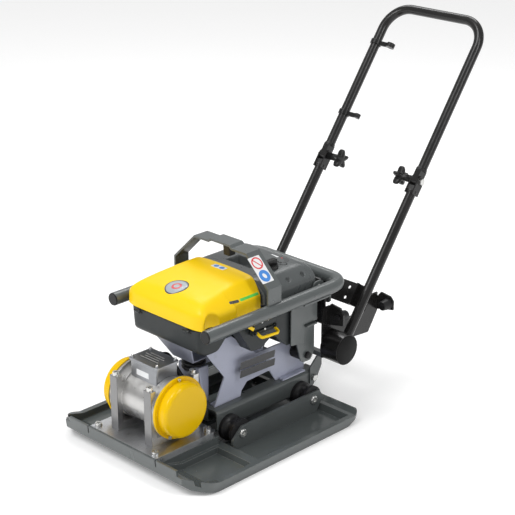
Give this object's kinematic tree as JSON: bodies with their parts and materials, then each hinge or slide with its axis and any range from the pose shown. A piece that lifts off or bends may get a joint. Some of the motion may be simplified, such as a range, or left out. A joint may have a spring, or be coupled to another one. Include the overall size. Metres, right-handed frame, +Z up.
{
  "type": "plate compactor",
  "caption": "Battery-electric forward plate compactor with steel base plate, exposed exciter, yellow battery hood, guard rail, lifting bar and folding guide handle",
  "frame": {"origin": "centre of the base plate's sole, on the ground", "axes": "+X across the machine to its right-hand side seen from the handle's front side, +Y to the guide handle, +Z up; the exciter is toward -Y"},
  "size_m": [0.5, 1.138, 0.9015],
  "materials": {
    "frame_paint": "dark grey-green satin paint",
    "base_paint": "dark grey-green paint on cast iron",
    "console_paint": "lilac-grey satin paint",
    "bare_aluminium": "cast and machined, bare",
    "yellow_shell": "yellow moulded plastic, satin",
    "dark_shell": "dark grey moulded plastic",
    "handle_coat": "black powder coat",
    "black_rubber": "matt black rubber",
    "zinc_steel": "zinc plated fasteners",
    "machined_steel": "ground steel",
    "iron": "cast iron",
    "black_plastic": "black moulded plastic",
    "panel_film": "dark control film"
  },
  "bodies": {
    "machine": {"bar_pad": "black_rubber", "base_plate": "base_paint", "battery_pack": "dark_shell", "cable_gland": "black_plastic", "carrier_bar": "frame_paint", "carrier_bolts": "zinc_steel", "channels": "frame_paint", "console_front_panel": "frame_paint", "console_plates": "console_paint", "control_housing": "dark_shell", "control_panel": "panel_film", "cross_members": "frame_paint", "ear_pads": "black_rubber", "electronics_case": "dark_shell", "end_cover_left": "yellow_shell", "end_cover_right": "yellow_shell", "end_cover_screws": "zinc_steel", "exciter_bearings": "machined_steel", "exciter_housing": "bare_aluminium", "exciter_leg_screws": "zinc_steel", "exciter_plate": "bare_aluminium", "exciter_plate_screws": "zinc_steel", "front_mount_bracket": "frame_paint", "front_tray_mount": "black_rubber", "guard_rail": "frame_paint", "inverter": "bare_aluminium", "latch_bodies": "dark_shell", "lifting_bar": "frame_paint", "motor_cable": "black_rubber", "pivot_pins": "machined_steel", "rail_bolts": "zinc_steel", "rail_caps": "black_plastic", "rail_supports": "frame_paint", "rear_cross_plate": "handle_coat", "rear_mount_brackets": "frame_paint", "rear_tray_mounts": "black_rubber", "rubber_spools": "black_rubber", "side_brackets": "frame_paint", "spool_screws": "zinc_steel", "stator": "iron", "stop_brackets": "handle_coat", "stop_buffers": "black_rubber", "terminal_box": "bare_aluminium", "terminal_cover": "bare_aluminium", "tray": "dark_shell"},
    "handle_lower": {"handle_lower": "handle_coat", "pivot_bushes": "black_rubber", "fold_pins": "zinc_steel"},
    "handle_upper": {"handle_upper": "handle_coat", "handle_clips": "black_plastic"},
    "star_knob_left": {"star_knob_left": "black_plastic"},
    "star_knob_right": {"star_knob_right": "black_plastic"},
    "hood": {"hood": "yellow_shell"},
    "latch_lever_left": {"latch_lever_left": "yellow_shell"},
    "latch_lever_right": {"latch_lever_right": "yellow_shell"},
    "rotary_switch": {"rotary_switch": "black_plastic"},
    "exciter_rotor": {"exciter_shaft": "machined_steel", "rotor": "iron", "eccentric_weights": "iron"}
  },
  "joints": [
    {"name": "handle_pivot", "type": "hinge", "parent": "machine", "child": "handle_lower", "pos_m": [0, 0.312, 0.158], "axis": [1, 0, 0], "range_deg": [-20, 14]},
    {"name": "upper_handle_fold", "type": "hinge", "parent": "handle_lower", "child": "handle_upper", "pos_m": [0, 0.58438, 0.53117], "axis": [1, 0, 0], "range_deg": [0, 120]},
    {"name": "star_knob_left_turn", "type": "hinge", "parent": "handle_lower", "child": "star_knob_left", "pos_m": [-0.1, 0.58438, 0.53117], "axis": [1, 0, 0], "continuous": true},
    {"name": "star_knob_right_turn", "type": "hinge", "parent": "handle_lower", "child": "star_knob_right", "pos_m": [0.1, 0.58438, 0.53117], "axis": [1, 0, 0], "continuous": true},
    {"name": "hood_hinge", "type": "hinge", "parent": "machine", "child": "hood", "pos_m": [0, -0.143, 0.325], "axis": [1, 0, 0], "range_deg": [0, 70]},
    {"name": "latch_left", "type": "hinge", "parent": "machine", "child": "latch_lever_left", "pos_m": [-0.1315, 0.064, 0.281], "axis": [0, 1, 0], "range_deg": [0, 75]},
    {"name": "latch_right", "type": "hinge", "parent": "machine", "child": "latch_lever_right", "pos_m": [0.1315, 0.064, 0.281], "axis": [0, -1, 0], "range_deg": [0, 75]},
    {"name": "switch_turn", "type": "hinge", "parent": "machine", "child": "rotary_switch", "pos_m": [0.072, 0.143, 0.4], "axis": [0, 0, -1], "range_deg": [0, 90]},
    {"name": "exciter_spin", "type": "hinge", "parent": "machine", "child": "exciter_rotor", "pos_m": [0, -0.171, 0.141], "axis": [1, 0, 0], "continuous": true}
  ]
}
